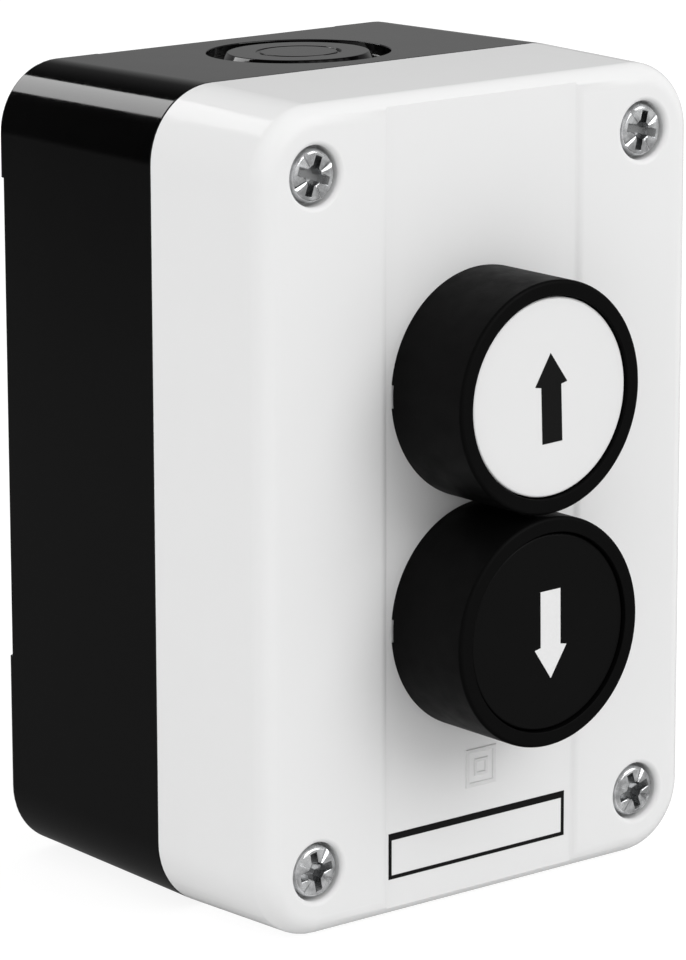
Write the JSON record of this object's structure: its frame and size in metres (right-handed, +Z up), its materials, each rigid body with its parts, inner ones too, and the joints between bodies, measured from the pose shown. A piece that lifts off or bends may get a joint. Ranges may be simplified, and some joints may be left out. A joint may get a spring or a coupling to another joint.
{
  "type": "pushbutton control station",
  "caption": "Wall box with a deep rear shell, a pale screwed cover and round flush pushbuttons marked with up and down arrows, each working its own contact block.",
  "frame": {"origin": "on the wall plane, at the centre of the four wall screw holes, at mid-height of the box", "axes": "+Z up the wall along the box's height, +Y into the wall, so the buttons face -Y, +X to the right for someone facing the buttons"},
  "size_m": [0.072, 0.0668, 0.106],
  "materials": {
    "black_shell": "glossy moulded black plastic",
    "white_shell": "fine satin moulded white plastic",
    "black_head": "matte black plastic",
    "white_cap": "smooth white plastic",
    "black_cap": "matte black plastic",
    "seal_rubber": "soft black rubber",
    "zinc_screws": "bright zinc plated",
    "grey_nut": "grey glass-filled plastic",
    "ivory_plunger": "slippery ivory plastic",
    "block_plastic": "dark heat-resistant plastic",
    "green_carrier": "green plastic",
    "contact_brass": "brass strip with silver tips",
    "spring_steel": "drawn spring wire"
  },
  "bodies": {
    "enclosure": {"rear_shell": "black_shell", "front_cover": "white_shell", "cover_seal": "seal_rubber", "cover_screws": "zinc_screws", "upper_bezel": "black_head", "upper_bezel_seal": "seal_rubber", "upper_fixing_nut": "grey_nut", "upper_return_spring": "spring_steel", "upper_block_housing": "block_plastic", "upper_block_base": "block_plastic", "upper_carrier_spring": "spring_steel", "upper_fixed_contacts": "contact_brass", "upper_terminal_clamps": "zinc_screws", "upper_terminal_screws": "zinc_screws", "lower_bezel": "black_head", "lower_bezel_seal": "seal_rubber", "lower_fixing_nut": "grey_nut", "lower_return_spring": "spring_steel", "lower_block_housing": "block_plastic", "lower_block_base": "block_plastic", "lower_carrier_spring": "spring_steel", "lower_fixed_contacts": "contact_brass", "lower_terminal_clamps": "zinc_screws", "lower_terminal_screws": "zinc_screws"},
    "upper_button": {"upper_cap": "white_cap", "upper_plunger": "ivory_plunger"},
    "upper_contact": {"upper_contact_carrier": "green_carrier", "upper_contact_bridge": "contact_brass", "upper_contact_spring": "spring_steel"},
    "lower_button": {"lower_cap": "black_cap", "lower_plunger": "ivory_plunger"},
    "lower_contact": {"lower_contact_carrier": "green_carrier", "lower_contact_bridge": "contact_brass", "lower_contact_spring": "spring_steel"}
  },
  "joints": [
    {"name": "upper_press", "type": "slide", "parent": "enclosure", "child": "upper_button", "axis": [0, 1, 0], "range_m": [0, 0.0043], "stiffness_N_per_m": 500, "springref_m": -0.0036, "deforming": ["upper_return_spring"]},
    {"name": "upper_contact_slide", "type": "slide", "parent": "enclosure", "child": "upper_contact", "axis": [0, 1, 0], "range_m": [0, 0.0043], "stiffness_N_per_m": 150, "springref_m": -0.003, "deforming": ["upper_carrier_spring"]},
    {"name": "lower_press", "type": "slide", "parent": "enclosure", "child": "lower_button", "axis": [0, 1, 0], "range_m": [0, 0.0043], "stiffness_N_per_m": 500, "springref_m": -0.0036, "deforming": ["lower_return_spring"]},
    {"name": "lower_contact_slide", "type": "slide", "parent": "enclosure", "child": "lower_contact", "axis": [0, 1, 0], "range_m": [0, 0.0043], "stiffness_N_per_m": 150, "springref_m": -0.003, "deforming": ["lower_carrier_spring"]}
  ],
  "couplings": [
    {"joint": "upper_contact_slide", "follows": "upper_press", "ratio": 1},
    {"joint": "lower_contact_slide", "follows": "lower_press", "ratio": 1}
  ]
}
